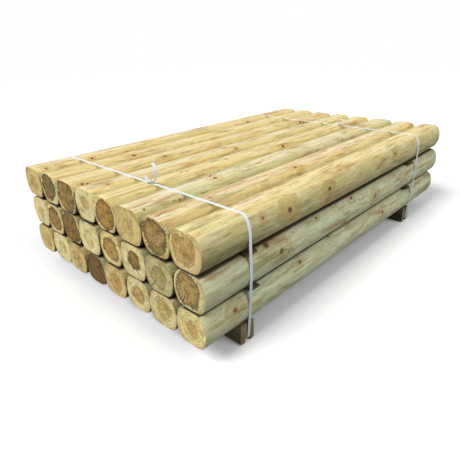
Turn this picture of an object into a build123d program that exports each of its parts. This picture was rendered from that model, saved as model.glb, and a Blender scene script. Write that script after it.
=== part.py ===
from build123d import *

import os
from math import acos, asin, atan2, degrees, sqrt

# Bundle of timber sleepers: three layers of machine-rounded logs with two sawn flats,
# laid flat on flat, spaced with laths, carried on two grooved bearers and held by two
# tensioned straps with wire buckles.
# Millimetres. X runs along the sleepers, Y across a layer and Z up. The origin is on the
# ground under the middle of the bundle.

# Sleepers
sleeper_length = 2400.0
sleeper_height = 160.0  # between the two sawn flats
sleeper_width = 178.0  # across the rounded sides of an average one
shoulder_radius = 30.0  # where a flat turns into a rounded side
belly_radius = 120.0  # the rounded side itself
side_clearance = 0.8  # between neighbours in a layer

# How much wider or narrower than the average each sleeper is, from the far side (+Y) to
# the near side, and how far its two ends stand back from the longest one's.
width_steps = {
    "bottom": (-2, 12, -4, -5, 4, -1, 4, -2),
    "middle": (-2, -8, -1, 10, -6, 6, 3, 2),
    "top": (6, -2, 8, -8, -5, 12, -4, -2),
}
near_end_steps = {
    "bottom": (3, 6, 0, 4, 2, 7, 3, 1),
    "middle": (5, 2, 4, 1, 6, 3, 0, 4),
    "top": (2, 5, 1, 6, 3, 0, 4, 2),
}
far_end_steps = {
    "bottom": (5, 0, 4, 7, 2, 5, 1, 3),
    "middle": (2, 6, 3, 0, 5, 4, 6, 0),
    "top": (4, 1, 6, 3, 5, 2, 8, 4),
}
layer_shift = {"bottom": 0.0, "middle": -6.0, "top": 0.0}  # of the whole layer, in Y
layer_order = ("bottom", "middle", "top")

# Laths between the layers
lath_width = 62.0
lath_thickness = 13.0
lath_end_inset = 4.0  # of a lath's ends from the outermost rounded side
lath_offsets = {  # from the strap's line, in X
    ("front", "lower"): 30.0,
    ("front", "upper"): 14.0,
    ("rear", "lower"): -70.0,
    ("rear", "upper"): -80.0,
}

# Bearers under the bottom layer, with a groove for the strap in their underside
bearer_width = 88.0
bearer_height = 104.0
bearer_end_inset = 18.0  # of a bearer's ends from the outermost rounded side
bearer_arris = 3.0  # chamfer of the long edges
groove_width = 30.0
groove_depth = 22.0

# Straps
strap_width = 16.0
strap_thickness = 1.0
strap_clearance = 0.2  # off the wood, all the way round
strap_in_groove = 6.0  # the strap's line from the middle of the groove, in X
near_strap = 264.0  # from the near ends to the front strap
far_strap = 414.0  # from the far ends to the rear strap

# Wire buckles on top, where the strap's two ends loop round the bars
wire_diameter = 3.6
wire_corner_radius = 4.0
buckle_length = 22.0  # between the middles of the two bars that hold the strap
buckle_width = 26.0  # between the middles of the two side wires
loop_clearance = 0.3  # between a bar and the strap round it
buckle_places = {"front": -98.0, "rear": -130.0}  # in Y

# The strap's free tails, as (radius, turn in degrees) of the arcs that follow the loop
long_tails = {
    "front": ((24.0, 52.0), (90.0, 34.0), (40.0, 42.0), (24.0, 46.0)),
    "rear": ((22.0, 60.0), (15.0, 62.0), (28.0, 60.0), (70.0, 36.0)),
}
short_tails = {
    "front": ((26.0, 42.0), (150.0, 6.0)),
    "rear": ((40.0, 16.0), (120.0, 8.0)),
}

# The rounded side is one belly arc between two shoulder arcs that run into the flats.
half_height = sleeper_height / 2
shoulder_rise = half_height - shoulder_radius
centre_distance = belly_radius - shoulder_radius
belly_reach = sqrt(centre_distance**2 - shoulder_rise**2)
side_bulge = belly_radius - belly_reach  # how far a side stands out past the flat's edge
belly_half_angle = degrees(asin(shoulder_rise / centre_distance))

layer_pitch = sleeper_height + lath_thickness
layer_bases = {name: bearer_height + layer_pitch * level for level, name in enumerate(layer_order)}
bundle_top = layer_bases["top"] + sleeper_height


def layer_edges(name):
    """Y of each sleeper's far and near side in one layer, before the bundle is centred."""
    edge = layer_shift[name]
    spans = []
    for step in reversed(width_steps[name]):
        spans.append((edge + sleeper_width + step, edge))
        edge += sleeper_width + step + side_clearance
    return spans[::-1]


raw_edges = {name: layer_edges(name) for name in layer_order}
lowest_side = min(spans[-1][1] for spans in raw_edges.values())
highest_side = max(spans[0][0] for spans in raw_edges.values())
bundle_width = highest_side - lowest_side
middle_line = (highest_side + lowest_side) / 2

near_end = -sleeper_length / 2
far_end = sleeper_length / 2
strap_lines = {"front": near_end + near_strap, "rear": far_end - far_strap}
bearer_lines = {place: line - strap_in_groove for place, line in strap_lines.items()}


def sleeper_outline(width):
    """Section of a sleeper: two flats joined by rounded sides, centred on the origin."""
    flat = width - 2 * side_bulge
    halves = []
    for side in (1, -1):
        shoulder = Vector(side * flat / 2, shoulder_rise)
        belly = Vector(side * (flat / 2 - belly_reach), 0)
        turn = 90 - belly_half_angle
        start = belly_half_angle if side > 0 else 180 - belly_half_angle
        halves.append(CenterArc(shoulder, shoulder_radius, start, side * turn))
        halves.append(CenterArc(belly, belly_radius, start, -2 * side * belly_half_angle))
        halves.append(CenterArc(Vector(shoulder.X, -shoulder.Y), shoulder_radius, -start, -side * turn))
    flats = [Line((-flat / 2, level), (flat / 2, level)) for level in (half_height, -half_height)]
    return Curve() + halves + flats


def sleeper_section(name, index):
    """The same section as a face at its place across and up the bundle."""
    far_side, near_side = raw_edges[name][index]
    across = (far_side + near_side) / 2 - middle_line
    section = Plane.YZ * Pos(across, layer_bases[name] + half_height) * make_face(
        sleeper_outline(far_side - near_side)
    )
    return section


def sleeper(name, index):
    start = near_end + near_end_steps[name][index]
    length = far_end - far_end_steps[name][index] - start
    return Pos(start, 0, 0) * extrude(sleeper_section(name, index), length, dir=(1, 0, 0))


def lath(place, gap):
    """A thin flat batten across the bundle, between two layers."""
    length = bundle_width - 2 * lath_end_inset
    level = layer_bases["middle" if gap == "lower" else "top"] - lath_thickness / 2
    return Pos(strap_lines[place] + lath_offsets[place, gap], 0, level) * Box(
        lath_width, length, lath_thickness
    )


bearer_length = bundle_width - 2 * bearer_end_inset


def bearer(place):
    """A sawn bearer with its arrises taken off and the strap's groove along its underside."""
    blank = Pos(0, bearer_height / 2) * Rectangle(bearer_width, bearer_height)
    blank = chamfer(blank.vertices(), bearer_arris)
    groove = Pos(0, groove_depth / 2) * Rectangle(groove_width, groove_depth)
    section = Plane.XZ * (blank - groove)
    body = extrude(section, bearer_length / 2, both=True)
    return Pos(bearer_lines[place], 0, 0) * body


def far_or_near(name, side):
    """How far out the last sleeper of a layer has its flat's edge, on the far (1) or near (-1) side."""
    edge = raw_edges[name][0][0] if side > 0 else raw_edges[name][-1][1]
    return side * (edge - middle_line) - side_bulge


def tangent_angle(first, second):
    """Direction of the outward normal, in degrees, where a tight band runs from disc to disc."""
    (centre, radius), (next_centre, next_radius) = first, second
    run = next_centre - centre
    return degrees(atan2(run.Y, run.X) + acos((radius - next_radius) / run.length))


def band_side(side, gap):
    """The band's way down one side, a gap off the wood, from the top flat to the bearer's groove.

    Drawn with outwards as +x. It rounds the top sleeper's shoulder, lies on the bellies that
    stand out furthest and ends round the corner of the bearer.
    """
    shoulder = Vector(far_or_near("top", side), bundle_top - shoulder_radius)
    discs = []
    for name in reversed(layer_order):
        belly = Vector(far_or_near(name, side) - belly_reach, layer_bases[name] + half_height)
        discs.append((belly, belly_radius + gap))
    discs.append((Vector(bearer_length / 2, groove_depth), gap))
    angle = belly_half_angle
    path = [CenterArc(shoulder, shoulder_radius + gap, 90, angle - 90)]
    here = 0
    while here < len(discs) - 1:
        leaving = {k: tangent_angle(discs[here], discs[k]) for k in range(here + 1, len(discs))}
        following = max(leaving, key=leaving.get)
        path.append(CenterArc(*discs[here], angle, leaving[following] - angle))
        angle = leaving[following]
        landing = discs[following][0] + Vector(discs[following][1], 0).rotate(Axis.Z, angle)
        path.append(Line(path[-1] @ 1, landing))
        here = following
    path.append(CenterArc(*discs[-1], angle, -90 - angle))
    return path


def band_outline(gap):
    """The whole way round the bundle as a face, a gap off the wood."""
    far_path = band_side(1, gap)
    near_path = [edge.mirror(Plane.YZ) for edge in band_side(-1, gap)]
    top = Line(near_path[0] @ 0, far_path[0] @ 0)
    under = Line(near_path[-1] @ 1, far_path[-1] @ 1)
    return make_face(Curve() + far_path + near_path + [top, under])


wire_radius = wire_diameter / 2
loop_radius = wire_radius + loop_clearance + strap_thickness / 2  # of the strap's middle
strap_level = bundle_top + strap_clearance + strap_thickness / 2
bar_level = strap_level + loop_radius


def strap_end(bar, side, tail):
    """Path from under a bar, round it and on along the free tail. side is +1 for the far end."""
    turn_up = -side
    path = [JernArc((bar, strap_level), (-side, 0), loop_radius, 180 * turn_up)]
    for radius, turn in tail:
        path.append(JernArc(path[-1] @ 1, path[-1] % 1, radius, -turn * turn_up))
    return trace(path, strap_thickness)


def strap(place):
    """One strap: the tight belt, open over the buckle, and its two looped ends and tails."""
    middle = buckle_places[place]
    far_bar = middle + buckle_length / 2
    near_bar = middle - buckle_length / 2
    belt = band_outline(strap_clearance + strap_thickness) - band_outline(strap_clearance)
    opening = Pos(middle, bundle_top) * Rectangle(buckle_length, sleeper_height)
    profile = belt - opening
    profile += strap_end(far_bar, 1, short_tails[place])
    profile += strap_end(near_bar, -1, long_tails[place])
    band = extrude(Plane.YZ * profile, strap_width / 2, both=True)
    return Pos(strap_lines[place], 0, 0) * band


def buckle(place):
    """A closed wire ring with the strap looped round its two cross bars."""
    ring = RectangleRounded(buckle_width, buckle_length, wire_corner_radius).wire()
    wire = sweep(Plane(ring @ 0, z_dir=ring % 0) * Circle(wire_radius), path=ring)
    return Pos(strap_lines[place], buckle_places[place], bar_level) * wire


parts = {}
for layer in layer_order:
    for number in range(len(width_steps[layer])):
        parts[f"sleeper_{layer}_{number + 1}"] = sleeper(layer, number)
for end in ("front", "rear"):
    parts[f"bearer_{end}"] = bearer(end)
    parts[f"lath_{end}_lower"] = lath(end, "lower")
    parts[f"lath_{end}_upper"] = lath(end, "upper")
    parts[f"strap_{end}"] = strap(end)
    parts[f"buckle_{end}"] = buckle(end)

os.makedirs("parts", exist_ok=True)
for name, shape in parts.items():
    export_step(shape, f"parts/{name}.step")
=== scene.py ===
import random
from math import asin, cos, hypot, pi, radians, sin, sqrt

import bpy
from mathutils import Matrix, Vector, noise


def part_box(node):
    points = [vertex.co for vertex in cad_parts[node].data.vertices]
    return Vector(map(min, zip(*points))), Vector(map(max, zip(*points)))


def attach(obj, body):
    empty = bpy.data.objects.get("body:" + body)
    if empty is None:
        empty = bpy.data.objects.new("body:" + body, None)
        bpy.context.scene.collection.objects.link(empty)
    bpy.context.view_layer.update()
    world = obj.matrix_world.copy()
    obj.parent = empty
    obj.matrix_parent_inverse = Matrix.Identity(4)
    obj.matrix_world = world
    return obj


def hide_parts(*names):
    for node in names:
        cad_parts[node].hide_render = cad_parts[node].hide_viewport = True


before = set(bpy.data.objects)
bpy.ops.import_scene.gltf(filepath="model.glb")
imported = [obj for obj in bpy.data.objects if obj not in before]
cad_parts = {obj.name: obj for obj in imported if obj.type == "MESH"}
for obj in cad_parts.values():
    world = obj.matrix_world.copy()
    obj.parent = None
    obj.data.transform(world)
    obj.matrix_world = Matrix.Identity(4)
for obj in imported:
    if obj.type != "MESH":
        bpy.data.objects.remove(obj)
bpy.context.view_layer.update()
print("frame loaded")


# Camera, from the photograph's vanishing lines
cameraSet = {
    "place": (-2.0331, -1.6513, 1.2321),
    "azimuth": -46.43,
    "elevation": 25.26,
    "roll": -1.57,
    "lens": 411.0 / 460 * 36,
    "sensor": 36,
    "reach": 60,
}


def aimCamera():
    azimuth, elevation, roll = (radians(cameraSet[k]) for k in ("azimuth", "elevation", "roll"))
    back = Vector((sin(azimuth) * cos(elevation), -cos(azimuth) * cos(elevation), sin(elevation)))
    level = Vector((cos(azimuth), sin(azimuth), 0))
    rise = back.cross(level)
    right = level * cos(roll) + rise * sin(roll)
    up = rise * cos(roll) - level * sin(roll)
    data = bpy.data.cameras.new("camera")
    data.lens = cameraSet["lens"]
    data.sensor_width = cameraSet["sensor"]
    data.clip_end = cameraSet["reach"]
    eye = bpy.data.objects.new("camera", data)
    turn = Matrix((right, up, back)).transposed().to_4x4()
    eye.matrix_world = Matrix.Translation(Vector(cameraSet["place"])) @ turn
    bpy.context.collection.objects.link(eye)
    bpy.context.scene.camera = eye


aimCamera()
print("camera placed")


# Shader maths as plain expressions
class Wire:
    def __init__(self, nodes, socket):
        self.nodes = nodes
        self.socket = socket

    def calc(self, operation, first, second):
        return self.nodes.add("ShaderNodeMath", {"operation": operation}, {0: first, 1: second})

    def __add__(self, other):
        return self.calc("ADD", self, other)

    def __sub__(self, other):
        return self.calc("SUBTRACT", self, other)

    def __mul__(self, other):
        return self.calc("MULTIPLY", self, other)

    def __truediv__(self, other):
        return self.calc("DIVIDE", self, other)

    def __pow__(self, other):
        return self.calc("POWER", self, other)

    def __rsub__(self, other):
        return self.calc("SUBTRACT", other, self)

    __radd__ = __add__
    __rmul__ = __mul__

    def top(self, other):
        return self.calc("MAXIMUM", self, other)

    def least(self, other):
        return self.calc("MINIMUM", self, other)


class Nodes:
    def __init__(self, tree, lastNode):
        self.tree = tree
        self.tree.nodes.clear()
        self.last = self.tree.nodes.new(lastNode)

    def show(self, surface):
        self.tree.links.new(surface.socket, self.last.inputs[0])

    def plug(self, target, value):
        if isinstance(value, Wire):
            self.tree.links.new(value.socket, target)
        elif isinstance(value, (tuple, list)) and len(value) == 3 and target.type == "RGBA":
            target.default_value = (*value, 1)
        else:
            target.default_value = value

    def add(self, kind, settings, sockets, output=0):
        node = self.tree.nodes.new(kind)
        for key, value in settings.items():
            setattr(node, key, value)
        for key, value in sockets.items():
            self.plug(node.inputs[key], value)
        return Wire(self, node.outputs[output])

    def attribute(self, name, output="Vector"):
        return self.add("ShaderNodeAttribute", {"attribute_name": name}, {}, output)

    def split(self, vector):
        return [self.add("ShaderNodeSeparateXYZ", {}, {0: vector}, k) for k in range(3)]

    def join(self, x, y, z):
        return self.add("ShaderNodeCombineXYZ", {}, {0: x, 1: y, 2: z})

    def vector(self, operation, first, second, output=0):
        return self.add("ShaderNodeVectorMath", {"operation": operation}, {0: first, 1: second}, output)

    def wave(self, value):
        return self.add("ShaderNodeMath", {"operation": "SINE"}, {0: value})

    def noise(self, vector, scale, detail=3.0, rough=0.5, output="Fac"):
        sockets = {"Vector": vector, "Scale": scale, "Detail": detail, "Roughness": rough}
        return self.add("ShaderNodeTexNoise", {}, sockets, output)

    def step(self, value, low, high):
        # smooth 0 to 1 as the value goes from low to high
        sockets = {0: value, 1: low, 2: high, 3: 0.0, 4: 1.0}
        return self.add("ShaderNodeMapRange", {"interpolation_type": "SMOOTHSTEP"}, sockets)

    def blend(self, amount, first, second, way="MIX"):
        settings = {"data_type": "RGBA", "blend_type": way}
        return self.add("ShaderNodeMix", settings, {0: amount, 6: first, 7: second}, 2)

    def bump(self, height, strength, distance):
        sockets = {"Strength": strength, "Distance": distance, "Height": height}
        return self.add("ShaderNodeBump", {}, sockets)

    def rays(self):
        # whether the camera, a reflection or a view through something sees the surface
        kinds = ("Is Camera Ray", "Is Glossy Ray", "Is Transmission Ray")
        return [self.add("ShaderNodeLightPath", {}, {}, kind) for kind in kinds]


class Finish(Nodes):
    def __init__(self, name):
        self.material = bpy.data.materials.new(name)
        self.material.use_nodes = True
        super().__init__(self.material.node_tree, "ShaderNodeOutputMaterial")
        self.shader = self.add("ShaderNodeBsdfPrincipled", {}, {})
        self.show(self.shader)

    def wear(self, **sockets):
        for key, value in sockets.items():
            self.plug(self.shader.socket.node.inputs[key.replace("_", " ")], value)
        return self.material


def tone(red, green, blue):
    # a colour as a screen shows it, 0 to 255
    def linear(c):
        c = c / 255
        return c / 12.92 if c <= 0.04045 else ((c + 0.055) / 1.055) ** 2.4
    return (linear(red), linear(green), linear(blue))


def makePiece(name, points, faces, materials, replaced=None, attributes=(), faceMaterials=None):
    mesh = bpy.data.meshes.new(name)
    mesh.from_pydata(points, [], faces)
    for key, values in attributes:
        if isinstance(values[0], tuple):
            layer = mesh.attributes.new(key, "FLOAT_VECTOR", "POINT")
            layer.data.foreach_set("vector", [c for v in values for c in v])
        else:
            layer = mesh.attributes.new(key, "FLOAT", "POINT")
            layer.data.foreach_set("value", values)
    for material in materials:
        mesh.materials.append(material)
    if faceMaterials:
        mesh.polygons.foreach_set("material_index", faceMaterials)
    mesh.polygons.foreach_set("use_smooth", [True] * len(mesh.polygons))
    mesh.update()
    mesh.set_sharp_from_angle(angle=radians(38))  # arrises stay crisp
    piece = bpy.data.objects.new(name, mesh)
    bpy.context.collection.objects.link(piece)
    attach(piece, "root")
    if replaced:
        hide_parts(replaced)


# Sleepers: machine-rounded logs with two sawn flats
sleeperSet = {
    "shoulder": 0.030,
    "belly": 0.120,
    "flatSteps": 4,
    "shoulderSteps": 5,
    "bellySteps": 4,
    "stations": 92,
    "waneLeast": 0.003,
    "lowerWane": 0.008,  # more on the lower edges
    "waneReach": 0.022,  # how far a flat's wavy edge may draw in
    "sideHollow": 0.0016,  # how far a rounded side may dip
    "endTilt": 0.0012,
    "arris": 0.0016,
    "crackGap": 0.0017,
    "crackDepth": 0.03,
    "capRings": (0.985, 0.9, 0.75, 0.56, 0.36, 0.16),  # of an end face, as shares of its rim
    "crackProfile": (0, 0.25, 0.6, 1, 1, 0.7),  # how deep a crack is at each of them
}
shoulder = sleeperSet["shoulder"]
belly = sleeperSet["belly"]


def lull(x, seed, pace):
    # smooth noise from 0 to 1 along a length
    return 0.5 + 0.5 * max(-1, min(1, 1.6 * noise.noise(Vector((x * pace, seed * 7.31, seed * 1.7)))))


def sleeperRing(halfWidth, halfHeight, cracks):
    # (y, z, flatness, share of the shoulder), round from the top flat's middle by the near side
    rise = halfHeight - shoulder
    reach = sqrt((belly - shoulder) ** 2 - rise**2)
    flat = halfWidth - (belly - reach)
    turn = asin(rise / (belly - shoulder))
    kinds = ("flatSteps", "shoulderSteps", "bellySteps")
    flatSteps, shoulderSteps, bellySteps = (sleeperSet[kind] for kind in kinds)
    quarter = [(flat * k / flatSteps, halfHeight, 1, 0) for k in range(flatSteps + 1)]
    for k in range(1, shoulderSteps + 1):
        angle = pi / 2 + (turn - pi / 2) * k / shoulderSteps
        spot = (flat + shoulder * cos(angle), rise + shoulder * sin(angle))
        quarter.append((*spot, 0, 1 - k / shoulderSteps))
    for k in range(1, bellySteps + 1):
        angle = turn * (1 - k / bellySteps)
        quarter.append((flat - reach + belly * cos(angle), belly * sin(angle), 0, 0))
    near = [(-y, z, f, s) for y, z, f, s in quarter]
    ring = near + [(y, -z, f, s) for y, z, f, s in near[-2::-1]]
    ring += [(-y, z, f, s) for y, z, f, s in ring[-2:0:-1]]
    for crack in cracks:
        ring = splitRing(ring, crack)
    return ring


def splitRing(ring, crack):
    # puts three points close together on the ring where a radial crack meets it
    angle, pith = crack["angle"], crack["pith"]
    ray = Vector((cos(angle), sin(angle)))
    for k, here in enumerate(ring):
        after = ring[(k + 1) % len(ring)]
        a = Vector(here[:2]) - pith
        b = Vector(after[:2]) - pith
        crossA, crossB = ray.cross(a), ray.cross(b)
        if crossA * crossB <= 0 and (a + b).dot(ray) > 0 and crossA != crossB:
            share = crossA / (crossA - crossB)
            span = (b - a).length
            gap = sleeperSet["crackGap"] / span
            share = min(0.94 - gap, max(0.06 + gap, share))
            added = []
            for offset in (-gap, 0, gap):
                t = share + offset
                added.append(tuple(p + (q - p) * t for p, q in zip(here, after)))
            crack["index"] = k + 2
            for other in crack["others"]:
                if other.get("index", -1) > k:
                    other["index"] += 3
            return ring[: k + 1] + added + ring[k + 1 :]
    return ring


def sleeperMesh(node, look, seed):
    low, high = (Vector(c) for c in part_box(node))
    middle = (low + high) / 2
    halfWidth, halfHeight = (high.y - low.y) / 2, (high.z - low.z) / 2
    pith = Vector(look["pith"])
    ends = []
    for end in (0, 1):
        angles = look["cracks"] if end == 0 else [a + 2.1 for a in look["cracks"]]
        cracks = [{"angle": a, "pith": pith, "end": end} for a in angles]
        ends += cracks
    for crack in ends:
        crack["others"] = [c for c in ends if c is not crack]
    ring = sleeperRing(halfWidth, halfHeight, ends)
    count = len(ring)
    points, grain, flatParts, faces, kinds = [], [], [], [], []
    length = high.x - low.x
    arris = sleeperSet["arris"]
    tilts = []
    for k in (1.5, 2.5):
        tilts.append([noise.noise(Vector((seed, k, part))) for part in (3.3, 9.1)])

    def endPlane(end, y, z):
        # how far the sawn end stands back there
        a, b = tilts[end]
        slope = 0.5 + 0.5 * (a * y / halfWidth + b * z / halfHeight)
        return sleeperSet["endTilt"] * max(0, min(1, slope))

    def drawIn(x, y, z, flatness, share):
        side = 1 if y > 0 else -1
        tag = seed + (0.37 if side > 0 else 0.0) + (0.19 if z > 0 else 0.0)
        wane = lull(x, tag, 2.7) * 0.6 + lull(x, tag + 0.5, 9) * 0.4
        pull = sleeperSet["waneLeast"] + sleeperSet["waneReach"] * wane
        if z < 0:
            pull += sleeperSet["lowerWane"]
        edge = halfWidth - (belly - sqrt((belly - shoulder) ** 2 - (halfHeight - shoulder) ** 2))
        if flatness == 1:
            y = y * (1 - pull / edge)
        elif share > 0:
            y -= side * pull * share**2
        if flatness < 1:
            dip = lull(x, seed + 4 + side * 0.2, 2.2) * lull(x + z * 0.3, seed + 6, 6)
            y -= side * sleeperSet["sideHollow"] * dip * min(1, (1 - share) * 1.5)
        return y, z

    stations = sleeperSet["stations"]
    places = [low.x + length * k / stations for k in range(stations + 1)]
    for number, x in enumerate(places):
        for y, z, flatness, share in ring:
            y, z = drawIn(x - low.x, y, z, flatness, share)
            place = x
            if number == 0:
                place = low.x + endPlane(0, y, z) + arris
            elif number == stations:
                place = high.x - endPlane(1, y, z) - arris
            points.append((place, middle.y + y, middle.z + z))
            grain.append((place - low.x, y, z))
            flatParts.append(flatness)
    for number in range(stations):
        for k in range(count):
            a, b = number * count + k, number * count + (k + 1) % count
            faces.append((a, b, b + count, a + count))
            kinds.append(0)
    for end in (0, 1):
        base = end * stations * count
        previous = [base + k for k in range(count)]
        rim = [Vector((grain[i][1], grain[i][2])) for i in previous]
        split = {c["index"] for c in ends if c["end"] == end and "index" in c}
        for inner, opened in zip(sleeperSet["capRings"], sleeperSet["crackProfile"]):
            current = []
            for k, outer in enumerate(rim):
                spot = pith + (outer - pith) * inner
                back = endPlane(end, spot.x, spot.y)
                if k in split:
                    back += sleeperSet["crackDepth"] * opened
                place = low.x + back if end == 0 else high.x - back
                current.append(len(points))
                points.append((place, middle.y + spot.x, middle.z + spot.y))
                grain.append((place - low.x, spot.x, spot.y))
                flatParts.append(0)
            for k in range(count):
                n = (k + 1) % count
                quad = (previous[k], current[k], current[n], previous[n])
                faces.append(quad if end == 0 else quad[::-1])
                kinds.append(1)
            previous = current
        back = endPlane(end, pith.x, pith.y)
        place = low.x + back if end == 0 else high.x - back
        centre = len(points)
        points.append((place, middle.y + pith.x, middle.z + pith.y))
        grain.append((place - low.x, pith.x, pith.y))
        flatParts.append(0)
        for k in range(count):
            n = (k + 1) % count
            tri = (previous[k], centre, previous[n])
            faces.append(tri if end == 0 else tri[::-1])
            kinds.append(1)
    return points, faces, kinds, grain, flatParts


# What each sleeper looks like, from the far side to the near one: its end (sap, heart, how far
# the heart reaches, how strong the rings are), its rounded side and its flat
creamSap = tone(236, 216, 146)
paleSap = tone(240, 226, 164)
tanSap = tone(226, 204, 132)
greySap = tone(210, 202, 142)
brownHeart = tone(152, 120, 50)
darkHeart = tone(128, 98, 40)
orangeHeart = tone(168, 128, 50)
tanHeart = tone(208, 178, 110)
yellowSide = tone(230, 210, 144)
goldSide = tone(226, 204, 140)
greenSide = tone(210, 206, 152)
greySide = tone(222, 224, 184)
creamFlat = tone(238, 222, 164)
whiteFlat = tone(234, 226, 182)
pinkFlat = tone(238, 222, 178)

sleeperLooks = {
    "top": [
        (tanSap, tanHeart, 0.50, 0.6, yellowSide, creamFlat),
        (paleSap, darkHeart, 0.86, 0.3, yellowSide, creamFlat),
        (creamSap, brownHeart, 0.98, 0.3, goldSide, creamFlat),
        (paleSap, tanHeart, 0.40, 0.8, yellowSide, whiteFlat),
        (creamSap, orangeHeart, 0.84, 0.3, yellowSide, creamFlat),
        (tanSap, tanHeart, 0.46, 0.6, greenSide, whiteFlat),
        (tanSap, tone(170, 140, 76), 0.88, 0.8, goldSide, pinkFlat),
        (tone(232, 210, 144), tone(192, 158, 94), 0.76, 0.6, tone(224, 208, 146), tone(242, 226, 168)),
    ],
    "middle": [
        (paleSap, tanHeart, 0.35, 0.5, yellowSide, creamFlat),
        (creamSap, brownHeart, 0.82, 0.4, yellowSide, creamFlat),
        (tanSap, darkHeart, 1.02, 0.3, goldSide, creamFlat),
        (paleSap, creamSap, 0.50, 0.5, greenSide, whiteFlat),
        (creamSap, tone(188, 152, 78), 0.70, 0.5, yellowSide, creamFlat),
        (paleSap, brownHeart, 0.52, 0.6, greenSide, creamFlat),
        (greySap, tone(182, 170, 108), 0.60, 1.0, greenSide, creamFlat),
        (paleSap, tone(178, 148, 84), 0.86, 0.9, greySide, creamFlat),
    ],
    "bottom": [
        (tanSap, tanHeart, 0.50, 0.6, yellowSide, creamFlat),
        (paleSap, creamSap, 0.50, 0.5, yellowSide, creamFlat),
        (tone(222, 196, 134), tone(200, 166, 98), 0.60, 0.6, goldSide, creamFlat),
        (tone(176, 148, 84), tone(118, 88, 34), 0.96, 0.4, greenSide, creamFlat),
        (tone(224, 200, 136), tone(196, 160, 92), 0.60, 0.6, yellowSide, creamFlat),
        (paleSap, tone(204, 172, 104), 0.56, 0.8, greenSide, creamFlat),
        (paleSap, tone(208, 182, 112), 0.60, 1.0, greenSide, creamFlat),
        (tone(246, 228, 160), tone(214, 178, 104), 0.45, 1.0, greySide, creamFlat),
    ],
}

# Knots as (metres from the near end, across and up from the sleeper's middle, size)
sleeperKnots = {
    "top": {
        1: [(0.334, -0.064, 0.074, 0.008), (1.733, -0.070, 0.069, 0.010), (0.060, -0.059, 0.077, 0.008)],
        2: [(0.514, -0.046, 0.080, 0.013), (1.32, -0.030, 0.080, 0.007)],
        3: [(0.617, -0.030, 0.080, 0.012), (0.064, -0.073, 0.066, 0.007), (0.090, -0.077, 0.060, 0.006),
            (1.948, -0.065, 0.075, 0.014), (1.904, 0.019, 0.080, 0.012)],
        4: [(0.119, -0.034, 0.080, 0.008), (0.958, 0.004, 0.080, 0.008), (1.009, -0.050, 0.078, 0.008)],
        5: [(0.467, 0.008, 0.080, 0.006), (0.498, -0.003, 0.080, 0.006), (0.857, 0.045, 0.080, 0.006),
            (0.787, -0.005, 0.080, 0.007), (1.246, -0.062, 0.072, 0.011)],
        6: [(0.516, 0.026, 0.080, 0.008), (0.512, -0.015, 0.080, 0.011), (0.231, -0.076, 0.064, 0.007),
            (0.050, -0.065, 0.076, 0.006), (1.774, -0.019, 0.080, 0.008)],
        7: [(0.032, 0.009, 0.080, 0.005), (0.895, -0.030, 0.080, 0.012), (0.300, -0.005, 0.080, 0.007)],
        8: [(0.860, -0.086, 0.022, 0.013), (0.529, -0.087, 0.018, 0.015), (0.350, -0.081, 0.039, 0.008),
            (0.805, 0.053, 0.078, 0.008), (1.62, -0.084, 0.035, 0.010)],
    },
    "middle": {
        8: [(1.118, -0.069, 0.068, 0.010), (1.378, -0.090, 0.009, 0.013), (0.929, -0.045, 0.080, 0.008),
            (0.770, -0.069, 0.068, 0.008), (0.385, -0.065, 0.070, 0.015), (0.469, -0.089, 0.017, 0.015)],
    },
    "bottom": {
        8: [(0.936, -0.056, 0.077, 0.008), (0.175, -0.083, 0.034, 0.012), (0.648, -0.076, 0.052, 0.009),
            (1.55, -0.084, 0.020, 0.012)],
    },
}

endSet = {
    "radius": 0.084,
    "ringPitch": 0.0105,
    "ringDrift": 2.4,
    "ringShake": 0.022,
    "heartLobes": 0.75,
    "darkHeart": 0.32,  # a heart below this green share is dark, with a marked rim
    "lateWood": (0.50, 0.42, 0.30),
    "blotch": (0.56, 0.44, 0.30),
    "crackShade": tone(58, 40, 22),
    "stain": tone(120, 104, 66),
}


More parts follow.
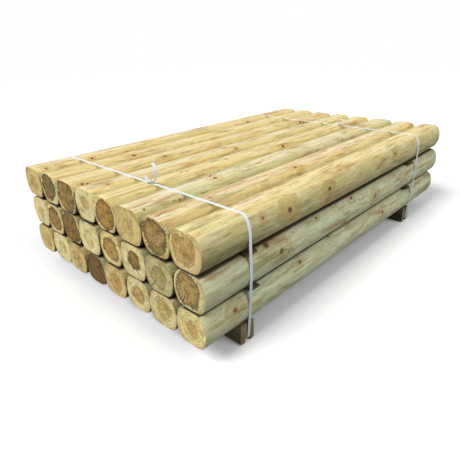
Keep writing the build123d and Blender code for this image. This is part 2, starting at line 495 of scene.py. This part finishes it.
def endFinish(name, look, seed):
    sap, heart, reach, rings = look["end"]
    f = Finish(name)
    x, y, z = f.split(f.attribute("grain"))
    flatPlace = f.join(y, z, seed * 3.7)
    wobble = f.vector("SUBTRACT", f.noise(flatPlace, 16, 3, 0.55, "Color"), (0.5, 0.5, 0.5))
    wobbleY, wobbleZ = f.split(wobble)[:2]
    shake = endSet["ringShake"]
    away = f.join(y - look["pith"][0] + wobbleY * shake, z - look["pith"][1] + wobbleZ * shake, 0)
    far = f.vector("LENGTH", away, (0, 0, 0), 1)
    share = far / endSet["radius"]
    year = f.noise(f.join(far * 60, seed, 0), 1.0, 2, 0.6)
    turns = far / endSet["ringPitch"] + year * endSet["ringDrift"]
    ring = f.step(f.wave(turns * (2 * pi)), -0.5, 0.8)
    fineRing = f.step(f.wave(turns * (6 * pi)), 0.2, 1.0)
    ray = f.noise(f.vector("NORMALIZE", away, (0, 0, 0)), 9, 2, 0.6)
    mottle = f.noise(flatPlace, 34, 5, 0.68)
    lobes = f.noise(f.join(y * 20, z * 20, seed), 1.0, 4, 0.62)
    edge = share + (lobes - 0.5) * endSet["heartLobes"] + (ray - 0.5) * 0.35
    inHeart = 1 - f.step(edge, reach - 0.12, reach + 0.08)
    isDark = heart[1] < endSet["darkHeart"]
    heartRim = f.step(edge, reach - 0.21, reach - 0.05) * (1 - f.step(edge, reach + 0.01, reach + 0.08))
    paleness = 0.40 if isDark else 0.60
    colour = f.blend(f.step(mottle, 0.44, 0.66) * 0.60, sap, tuple(c * 0.58 for c in sap))
    inner = f.blend(f.step(mottle, 0.42, 0.62), heart, tuple(c * paleness for c in heart))
    inner = f.blend(f.step(ray, 0.50, 0.64) * 0.70, inner, tuple(min(0.9, c * 1.7) for c in heart))
    colour = f.blend(inHeart * 0.94, colour, inner)
    colour = f.blend(heartRim * (0.74 if isDark else 0.20), colour, tuple(c * 0.24 for c in heart))
    late = f.blend(1.0, colour, endSet["lateWood"], "MULTIPLY")
    colour = f.blend((1 - ring) * 0.64 * rings, colour, late)
    colour = f.blend(fineRing * 0.22, colour, late)
    colour = f.blend((1 - f.step(far, 0.002, 0.006)) * 0.7, colour, darkHeart)
    blotch = f.step(f.noise(flatPlace, 20, 5, 0.72), 0.50, 0.66)
    colour = f.blend(blotch * 0.60, colour, endSet["blotch"], "MULTIPLY")
    colour = f.blend(f.step(share, 0.88, 1.06) * 0.30, colour, endSet["stain"])
    # painted shade deep inside the end cracks
    inCrack = f.step(f.attribute("deep", "Fac"), 0.12, 0.5)
    colour = f.blend(inCrack, colour, endSet["crackShade"])
    saw = f.noise(f.join(y * 40 + z * 160, z * 30, seed), 6.0, 3, 0.6)
    fuzz = f.noise(flatPlace, 420, 3, 0.6)
    height = saw * 0.6 + ring * 0.25 * rings + fuzz * 0.5
    return f.wear(
        Base_Color=colour,
        Roughness=0.86 - 0.1 * ring,
        Normal=f.bump(height, 0.7, 0.0012),
    )


sideSet = {
    "fibre": (26, 300),  # noise steps a metre, along and across
    "linePitch": 0.0052,
    "chatterPitch": 0.012,
    "knotScale": 1.25,
    "knotStretch": (0.8, 1, 1),
    "knotHeart": tone(74, 44, 22),
    "knotRim": tone(150, 92, 48),
    "stain": tone(178, 132, 78),
    "moss": tone(160, 154, 104),
    "chalk": tone(240, 234, 204),
    "fleck": tone(112, 82, 46),
    # painted shade, nearly black, for gaps, valleys and undersides
    "gapShade": tone(24, 22, 14),
    "overhangShade": tone(84, 88, 70),  # painted shade on the shoulder below the layer above
    "warm": (0.74, 0.58, 0.38),
    "fibreShade": (0.60, 0.50, 0.36),
    "halo": (0.78, 0.58, 0.36),
    "grime": (0.58, 0.56, 0.48),
    "cut": (0.62, 0.58, 0.46),
    "greened": (0.80, 0.90, 0.90),
    "lowSideShade": (0.48, 0.50, 0.44),  # painted shade on the lower side near the near end
}


def sideFinish(name, look, seed):
    f = Finish(name)
    grain = f.attribute("grain")
    x, y, z = f.split(grain)
    flatness = f.attribute("flatness", "Fac")
    side, flatTone, half = look["side"], look["flat"], look["half"]

    def cloud(along, across, tag, detail=4, rough=0.62):
        return f.noise(f.join(x * along + tag, y * across, z * across + seed), 1.0, detail, rough)

    drift = f.noise(f.join(x * 1.3, y * 7, z * 7 + seed), 1.0, 3, 0.55, "Color")
    driftX, driftY, driftZ = f.split(f.vector("SUBTRACT", drift, (0.5, 0.5, 0.5)))
    ragged = (cloud(60, 160, 3.0) - 0.5) * 0.010
    # knots bend the grain round them and darken in the middle
    knotShade = None
    bend = None
    for knotX, knotY, knotZ, size in look["knots"]:
        size = size * sideSet["knotScale"]
        gap = f.vector("SUBTRACT", grain, (knotX, knotY, knotZ))
        far = f.vector("LENGTH", f.vector("MULTIPLY", gap, sideSet["knotStretch"]), (0, 0, 0), 1)
        body = 1 - f.step(far + ragged * (size * 70), size * 0.45, size * 0.95)
        pull = (1 - f.step(far, size * 0.4, size * 5.5)) * (size * 1.7)
        knotShade = body if knotShade is None else knotShade.top(body)
        bend = pull if bend is None else bend.top(pull)
    away = f.join(y + driftY * 0.05 - look["pith"][0], z + driftZ * 0.05 - look["pith"][1], 0)
    radius = f.vector("LENGTH", away, (0, 0, 0), 1) + bend * 0.35
    lines = f.step(f.wave(radius * (2 * pi / sideSet["linePitch"])), -0.4, 0.9)

    patch = cloud(2.6, 15, 0, 5, 0.68)
    streak = cloud(4.5, 85, 5.0)
    flecks = cloud(16, 130, 9.0)
    fibre = cloud(*sideSet["fibre"], 1.0)
    flatEdge = flatness + (cloud(9, 40, 2.0) - 0.5) * 1.1
    colour = f.blend(f.step(flatEdge, 0.22, 0.68), side, flatTone)
    colour = f.blend(f.step(patch, 0.52, 0.66) * 0.72, colour, sideSet["stain"])
    colour = f.blend((1 - f.step(patch, 0.35, 0.46)) * 0.66, colour, sideSet["moss"])
    chalky = f.step(cloud(3.6, 34, 12.0), 0.52, 0.62) * (0.25 + 0.45 * flatness)
    colour = f.blend(chalky, colour, sideSet["chalk"])
    warm = f.blend(1.0, colour, sideSet["warm"], "MULTIPLY")
    colour = f.blend(f.step(streak, 0.50, 0.64) * (0.50 + 0.30 * flatness), colour, warm)
    colour = f.blend((1 - lines) * 0.30, colour, warm)
    colour = f.blend(f.step(fibre, 0.50, 0.72) * 0.34, colour, sideSet["fibreShade"], "MULTIPLY")
    colour = f.blend(f.step(flecks, 0.62, 0.70) * 0.78, colour, sideSet["fleck"])
    halo = f.step(bend, 0.005, 0.018)
    colour = f.blend(halo * 0.50, colour, sideSet["halo"], "MULTIPLY")
    knotTone = f.blend(f.step(cloud(40, 40, 7.0), 0.42, 0.58), sideSet["knotHeart"], sideSet["knotRim"])
    colour = f.blend(knotShade * 0.95, colour, knotTone)
    grime = f.step(cloud(5, 18, 17.0, 5, 0.72), 0.56, 0.74)
    colour = f.blend(grime * 0.36, colour, sideSet["grime"], "MULTIPLY")
    # cross marks that the rounding cutter left in places
    beat = (x + driftX * 0.006) * (2 * pi / sideSet["chatterPitch"])
    rounded = 1 - f.step(flatness, 0.2, 0.8)
    marked = rounded * f.step(cloud(2.2, 10, 21.0), 0.50, 0.62)
    cut = f.step(f.wave(beat), 0.1, 0.9) * marked
    colour = f.blend(cut * 0.30, colour, sideSet["cut"], "MULTIPLY")
    # the steep part of a side has gone green
    steep = f.step((y * y) ** 0.5, 0.62 * half, 0.97 * half)
    colour = f.blend(steep * 0.70, colour, sideSet["greened"], "MULTIPLY")
    # painted shade: where neighbours and layers touch and in the valleys between sleepers, the colour is
    # darkened nearly to black to stand in for shade
    last = look["length"]
    shallow = f.step(x, 0.0, 0.007) * (1 - f.step(x, last - 0.007, last))
    deeper = f.step(x, 0.02, 0.07) * (1 - f.step(x, last - 0.07, last - 0.02))
    farSide, nearSide = look["touch"]
    pressUp, pressDown = look["press"]

    def besideNeighbour(low, high):
        farPart = f.step(y * farSide, low * half, high * half)
        return farPart.top(f.step(y * nearSide, low * half, high * half))

    inner = besideNeighbour(0.50, 0.72)
    touching = besideNeighbour(0.90, 0.985)
    stacked = f.step(z * pressUp, 0.074, 0.0790).top(f.step(z * pressDown, 0.070, 0.0785))
    hollowShade = inner * f.step(z * pressDown, -0.02, 0.02)
    lidShade = inner * f.step(z * pressUp, 0.01, 0.05) * deeper
    # painted shade: the lower part of each side is darkened towards the same near black
    under = f.step(z * pressDown, -0.025, 0.072) * look["under"]
    # painted shade on the upper shoulder of the outer sleepers, below the layer above
    overhangShade = f.step(z * pressUp, 0.030, 0.078) * (1 - inner)
    colour = f.blend(overhangShade * 0.24, colour, sideSet["overhangShade"])
    # painted shade: the lower outer side is darkened towards the near end
    lowSideShade = (1 - f.step(x, 0.12, 0.55)) * f.step(z * -1, -0.05, 0.03) * (1 - inner)
    colour = f.blend(lowSideShade * look["lowSideShade"], colour, sideSet["lowSideShade"], "MULTIPLY")
    gapShade = touching.top(stacked).top(hollowShade) * shallow
    colour = f.blend(gapShade.top(lidShade).top(under) * 0.92, colour, sideSet["gapShade"])
    height = fibre * 0.8 + lines * 0.12 + streak * 0.5 + cut * -0.35 - knotShade * 0.3
    return f.wear(
        Base_Color=colour,
        Roughness=0.72 + 0.16 * fibre,
        Normal=f.bump(height, 0.6, 0.0013),
    )


def strayKnots(draw, size):
    # a few more, on the sides that the near ones leave bare
    ring = sleeperRing(size.y / 2, size.z / 2, [])
    bare = [spot for spot in ring if spot[0] > 0.2 * size.y or spot[1] < -0.2 * size.z]
    picked = [draw.choice(bare) for count in range(4)]
    return [(draw.uniform(0.1, size.x - 0.1), y, z, draw.uniform(0.007, 0.013)) for y, z, *rest in picked]


def makeSleepers():
    draw = random.Random(41)
    for layer, looks in sleeperLooks.items():
        for number, (sap, heart, reach, rings, side, flatTone) in enumerate(looks):
            node = f"sleeper_{layer}_{number + 1}"
            low, high = (Vector(c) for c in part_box(node))
            size = high - low
            seed = draw.uniform(1, 90)
            first = draw.uniform(0, 2 * pi)
            look = {
                "end": (sap, heart, reach, rings),
                "side": side,
                "flat": flatTone,
                "knots": sleeperKnots[layer].get(number + 1, []) + strayKnots(draw, size),
                "pith": (draw.uniform(-0.010, 0.010), draw.uniform(-0.010, 0.010)),
                "length": size.x,
                "half": size.y / 2,
                "touch": (1 if number > 0 else 0, -1 if number < 7 else 0),
                "press": (0 if layer == "top" else 1, -1),
                # how strongly shade is painted on the lower part of each side
                "under": 0.46 if layer == "top" else 0.34,
                # how strongly shade is painted on the lower side near the near end
                "lowSideShade": 0.9 if layer == "top" else 0.3,
                "cracks": [first, first + draw.uniform(1.7, 2.6)][: draw.choice((1, 2, 2))],
            }
            points, faces, kinds, grain, flatParts = sleeperMesh(node, look, seed)
            length = max(g[0] for g in grain)
            inside = [min(g[0], length - g[0]) / 0.01 for g in grain]
            deep = [min(1, max(0, v - 0.3)) for v in inside]  # 1 well inside an end crack
            finishes = [
                sideFinish(f"side_{layer}_{number + 1}", look, seed),
                endFinish(f"end_{layer}_{number + 1}", look, seed),
            ]
            attributes = (("grain", grain), ("flatness", flatParts), ("deep", deep))
            makePiece(node + "_log", points, faces, finishes, node, attributes, kinds)


makeSleepers()
print("sleepers built")


# Bearers and laths: rough sawn timber, dark with wet
sawnSet = {
    "corner": 0.006,
    "bearer": tone(98, 88, 54),
    "bearerEnd": tone(126, 116, 78),
    "lath": tone(86, 70, 40),
    "lathEnd": tone(84, 70, 42),
    "wearDepth": 0.0012,
    "endWear": 0.0015,
    "arris": 0.0025,
    "grooveHalf": 0.015,  # of the strap's groove under a bearer
    "grooveDepth": 0.022,
    "ringPitch": 0.0035,
    "pithRise": 0.03,
    "cell": 0.012,
    "stations": 60,
}


def sawnFinish(name, face, endFace, seed):
    f = Finish(name)
    x, y, z = f.split(f.add("ShaderNodeTexCoord", {}, {}, "Object"))
    normalY = f.split(f.add("ShaderNodeNewGeometry", {}, {}, "True Normal"))[1]
    isEnd = f.step(normalY * normalY, 0.5, 0.8)
    fibre = f.noise(f.join(x * 150, y * 4, z * 150 + seed), 1.0, 4, 0.65)
    patch = f.noise(f.join(x * 12, y * 2.2, z * 12 + seed), 1.0, 4, 0.6)
    colour = f.blend(f.step(patch, 0.35, 0.68), face, tuple(c * 0.45 for c in face))
    colour = f.blend(f.step(fibre, 0.5, 0.75) * 0.5, colour, tuple(min(1, c * 1.9 + 0.01) for c in face))
    up = z + sawnSet["pithRise"]
    away = (x * x + up * up) ** 0.5 + patch * 0.01
    rings = f.wave(away / sawnSet["ringPitch"] * (2 * pi))
    speck = f.noise(f.join(x * 60, seed, z * 34), 1.0, 4, 0.7)
    butt = f.blend(f.step(speck, 0.42, 0.62), endFace, tuple(c * 0.4 for c in endFace))
    butt = f.blend(f.step(rings, 0.2, 0.9) * 0.35, butt, tuple(c * 1.6 for c in endFace))
    colour = f.blend(isEnd, colour, butt)
    saw = f.noise(f.join(x * 20, y * 260, z * 60), 1.0, 3, 0.6)
    return f.wear(
        Base_Color=colour,
        Roughness=0.82 - 0.1 * fibre,
        Normal=f.bump(fibre * 0.7 + saw * 0.4, 0.6, 0.0014),
    )


def sawnTimber(name, node, outline, finish, seed):
    # the outline is (x, z) from the low corner; it runs along Y between the node's two ends
    low, high = (Vector(c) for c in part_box(node))
    centre = Vector(((high.x - low.x) / 2, (high.z - low.z) / 2))
    stations = sawnSet["stations"]
    dense = []
    for k, start in enumerate(outline):
        stop = outline[(k + 1) % len(outline)]
        span = hypot(stop[0] - start[0], stop[1] - start[1])
        pieces = max(1, round(span / sawnSet["cell"]))
        for step in range(pieces):
            t = step / pieces
            dense.append(Vector([p + (q - p) * t for p, q in zip(start, stop)]))
    count = len(dense)
    points, faces = [], []
    for number in range(stations + 1):
        y = low.y + (high.y - low.y) * number / stations
        for spot in dense:
            inward = (centre - spot).normalized()
            depth = 0.5 + 0.5 * noise.noise(Vector((spot.x * 30, y * 9, spot.y * 30 + seed)))
            moved = spot + inward * sawnSet["wearDepth"] * depth
            end = 0.0
            if number in (0, stations):
                rough = noise.noise(Vector((spot.x * 50, spot.y * 50, seed + number)))
                end = sawnSet["endWear"] * (0.5 + 0.5 * rough)
            place = y + end if number == 0 else y - end
            points.append((low.x + moved.x, place, low.z + moved.y))
    for number in range(stations):
        for k in range(count):
            a, b = number * count + k, number * count + (k + 1) % count
            faces.append((a, a + count, b + count, b))
    faces.append(tuple(range(count)))
    faces.append(tuple(range(stations * count, (stations + 1) * count))[::-1])
    makePiece(name, points, faces, [finish], node)


def planed(width, height, corner, groove=()):
    # a rectangle with its corners taken off, and a groove in its underside
    low = [(corner, 0), *groove, (width - corner, 0), (width, corner)]
    high = [(width, height - corner), (width - corner, height), (corner, height), (0, height - corner)]
    return low + high + [(0, corner)]


def makeSawn():
    for place, seed in (("front", 3.0), ("rear", 8.0)):
        node = "bearer_" + place
        low, high = (Vector(c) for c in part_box(node))
        width, height = high.x - low.x, high.z - low.z
        left, right = width / 2 - sawnSet["grooveHalf"], width / 2 + sawnSet["grooveHalf"]
        deep = sawnSet["grooveDepth"]
        groove = [(left, 0), (left, deep), (right, deep), (right, 0)]
        outline = planed(width, height, sawnSet["corner"], groove)
        finish = sawnFinish("bearer_" + place, sawnSet["bearer"], sawnSet["bearerEnd"], seed)
        sawnTimber(node + "_sawn", node, outline, finish, seed)
        for gap in ("lower", "upper"):
            node = f"lath_{place}_{gap}"
            low, high = (Vector(c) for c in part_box(node))
            outline = planed(high.x - low.x, high.z - low.z, sawnSet["arris"])
            finish = sawnFinish(node, sawnSet["lath"], sawnSet["lathEnd"], seed + 1)
            sawnTimber(node + "_sawn", node, outline, finish, seed + 2)


makeSawn()
print("bearers and laths built")


# A few torn splinters on one near end
splinterSet = {
    "node": "sleeper_top_7",
    "roots": ((-0.066, 0.046), (-0.073, 0.036), (-0.060, 0.054)),  # across and up from the middle
    "leans": ((-0.014, 0.031), (-0.013, 0.027), (-0.002, 0.021)),
    "width": 0.0068,
    "tone": tone(240, 236, 214),
}


def makeSplinters():
    low, high = (Vector(c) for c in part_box(splinterSet["node"]))
    middle = (low + high) / 2
    points, faces = [], []
    for (y, z), (leanY, leanZ) in zip(splinterSet["roots"], splinterSet["leans"]):
        first = len(points)
        w = splinterSet["width"]
        for share in (0, 0.35, 0.7, 1):
            out = low.x + 0.002 - 0.0045 * sqrt(share)
            rise = leanZ * share - 0.004 * share**2
            spot = Vector((out, middle.y + y + leanY * share, middle.z + z + rise))
            thick = w * (1 - 0.85 * share)
            for dx, dy, dz in ((0, -0.5, -0.3), (0, 0.5, 0.3), (0.6, 0.2, -0.4)):
                points.append((spot.x + dx * thick, spot.y + dy * thick, spot.z + dz * thick))
        for step in range(3):
            for k in range(3):
                a, b = first + step * 3 + k, first + step * 3 + (k + 1) % 3
                faces.append((a, a + 3, b + 3, b))
        faces.append((first, first + 1, first + 2))
        faces.append((first + 11, first + 10, first + 9))
    f = Finish("splinter")
    place = f.add("ShaderNodeTexCoord", {}, {}, "Object")
    fibre = f.noise(place, 900, 3, 0.6)
    colour = f.blend(f.step(fibre, 0.4, 0.7), splinterSet["tone"], tone(196, 170, 118))
    finish = f.wear(Base_Color=colour, Roughness=0.8, Normal=f.bump(fibre, 0.4, 0.0004))
    makePiece("splinters", points, faces, [finish])


makeSplinters()
print("splinters built")


# Straps and buckles keep their CAD shape
strapSet = {
    "white": tone(250, 251, 252),
    "shade": tone(226, 234, 240),
    "lowStrapShade": tone(172, 192, 202),  # painted shade: bluish grey lower down
    "dust": tone(190, 186, 164),
    "cordPitch": 0.0016,
    "crossPitch": 0.0024,
    "wire": tone(150, 160, 172),
    "wireDark": tone(108, 118, 134),
}


def strapFinish():
    f = Finish("strapping")
    x, y, z = f.split(f.add("ShaderNodeTexCoord", {}, {}, "Object"))
    cord = f.wave(x / strapSet["cordPitch"] * (2 * pi))
    crossing = f.wave((y + z) / strapSet["crossPitch"] * (2 * pi))
    dust = f.noise(f.join(x * 40, y * 12, z * 12), 1.0, 4, 0.6)
    colour = f.blend(f.step(cord, -1, 1) * 0.6, strapSet["shade"], strapSet["white"])
    # painted shade: the strap turns bluish grey lower down
    colour = f.blend((1 - f.step(z, 0.18, 0.60)) * 0.75, colour, strapSet["lowStrapShade"])
    colour = f.blend(f.step(dust, 0.52, 0.75) * 0.35, colour, strapSet["dust"])
    return f.wear(
        Base_Color=colour,
        Roughness=0.42 + 0.2 * dust,
        Normal=f.bump(cord * 0.5 + crossing * 0.15, 0.5, 0.0004),
    )


def wireFinish():
    f = Finish("buckle_wire")
    place = f.add("ShaderNodeTexCoord", {}, {}, "Object")
    spangle = f.noise(place, 320, 3, 0.6)
    colour = f.blend(f.step(spangle, 0.4, 0.7), strapSet["wire"], strapSet["wireDark"])
    return f.wear(
        Base_Color=colour,
        Roughness=0.3 + 0.25 * spangle,
        Metallic=0.9,
        Normal=f.bump(spangle, 0.3, 0.0003),
    )


strapping, buckleWire = strapFinish(), wireFinish()
for node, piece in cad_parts.items():
    if node.startswith(("strap", "buckle")):
        piece.data.materials.clear()
        piece.data.materials.append(strapping if node.startswith("strap") else buckleWire)
print("straps finished")


# Floor and light
studioSet = {
    "floorHalf": 14.0,
    "floor": tone(250, 250, 250),
    "floorBounce": tone(168, 168, 168),  # as the object's own light meets it
    "world": 0.34,
    "worldTint": (0.96, 0.98, 1.0),
    "keyPower": 2.75,
    "keyFrom": (-0.68, 0.10, 0.74),
    "keySpread": 26,
    "fillPower": 1.08,
    "fillFrom": (0.15, -0.76, 0.62),
    "fillSpread": 40,
    "floorLift": 0.045,  # added for the camera and for reflections, so that the lit floor is white
}


def makeStudio():
    half = studioSet["floorHalf"]
    corners = [(-half, -half, 0), (half, -half, 0), (half, half, 0), (-half, half, 0)]
    mesh = bpy.data.meshes.new("floor")
    mesh.from_pydata(corners, [], [(0, 1, 2, 3)])
    floor = bpy.data.objects.new("floor", mesh)
    bpy.context.collection.objects.link(floor)
    f = Finish("floor")
    f.wear(Base_Color=studioSet["floor"], Roughness=0.9)
    seen, mirrored, through = f.rays()
    dull = f.add("ShaderNodeBsdfDiffuse", {}, {"Color": studioSet["floorBounce"]})
    shown = f.add("ShaderNodeMixShader", {}, {0: seen, 1: dull, 2: f.shader})
    glow = f.add("ShaderNodeEmission", {}, {"Color": (1.0, 1.0, 1.0), "Strength": studioSet["floorLift"]})
    lift = f.add("ShaderNodeMixShader", {}, {0: (seen + mirrored + through).least(1), 2: glow})
    f.show(f.add("ShaderNodeAddShader", {}, {0: shown, 1: lift}))
    mesh.materials.append(f.material)

    world = bpy.data.worlds.new("studio")
    bpy.context.scene.world = world
    world.use_nodes = True
    sky = Nodes(world.node_tree, "ShaderNodeOutputWorld")
    seen, mirrored, through = sky.rays()
    sockets = {"Color": studioSet["worldTint"], "Strength": studioSet["world"]}
    plain = sky.add("ShaderNodeBackground", {}, sockets)
    white = sky.add("ShaderNodeBackground", {}, {"Color": (1.0, 1.0, 1.0), "Strength": 1.0})
    sky.show(sky.add("ShaderNodeMixShader", {}, {0: seen.top(through), 1: plain, 2: white}))

    for name in ("key", "fill"):
        lamp = bpy.data.lights.new(name, "SUN")
        lamp.energy = studioSet[name + "Power"]
        lamp.angle = radians(studioSet[name + "Spread"])
        body = bpy.data.objects.new(name, lamp)
        body.rotation_euler = Vector(studioSet[name + "From"]).to_track_quat("Z", "Y").to_euler()
        bpy.context.collection.objects.link(body)


makeStudio()
scene = bpy.context.scene
scene.view_settings.view_transform = "Standard"
print("studio lit")
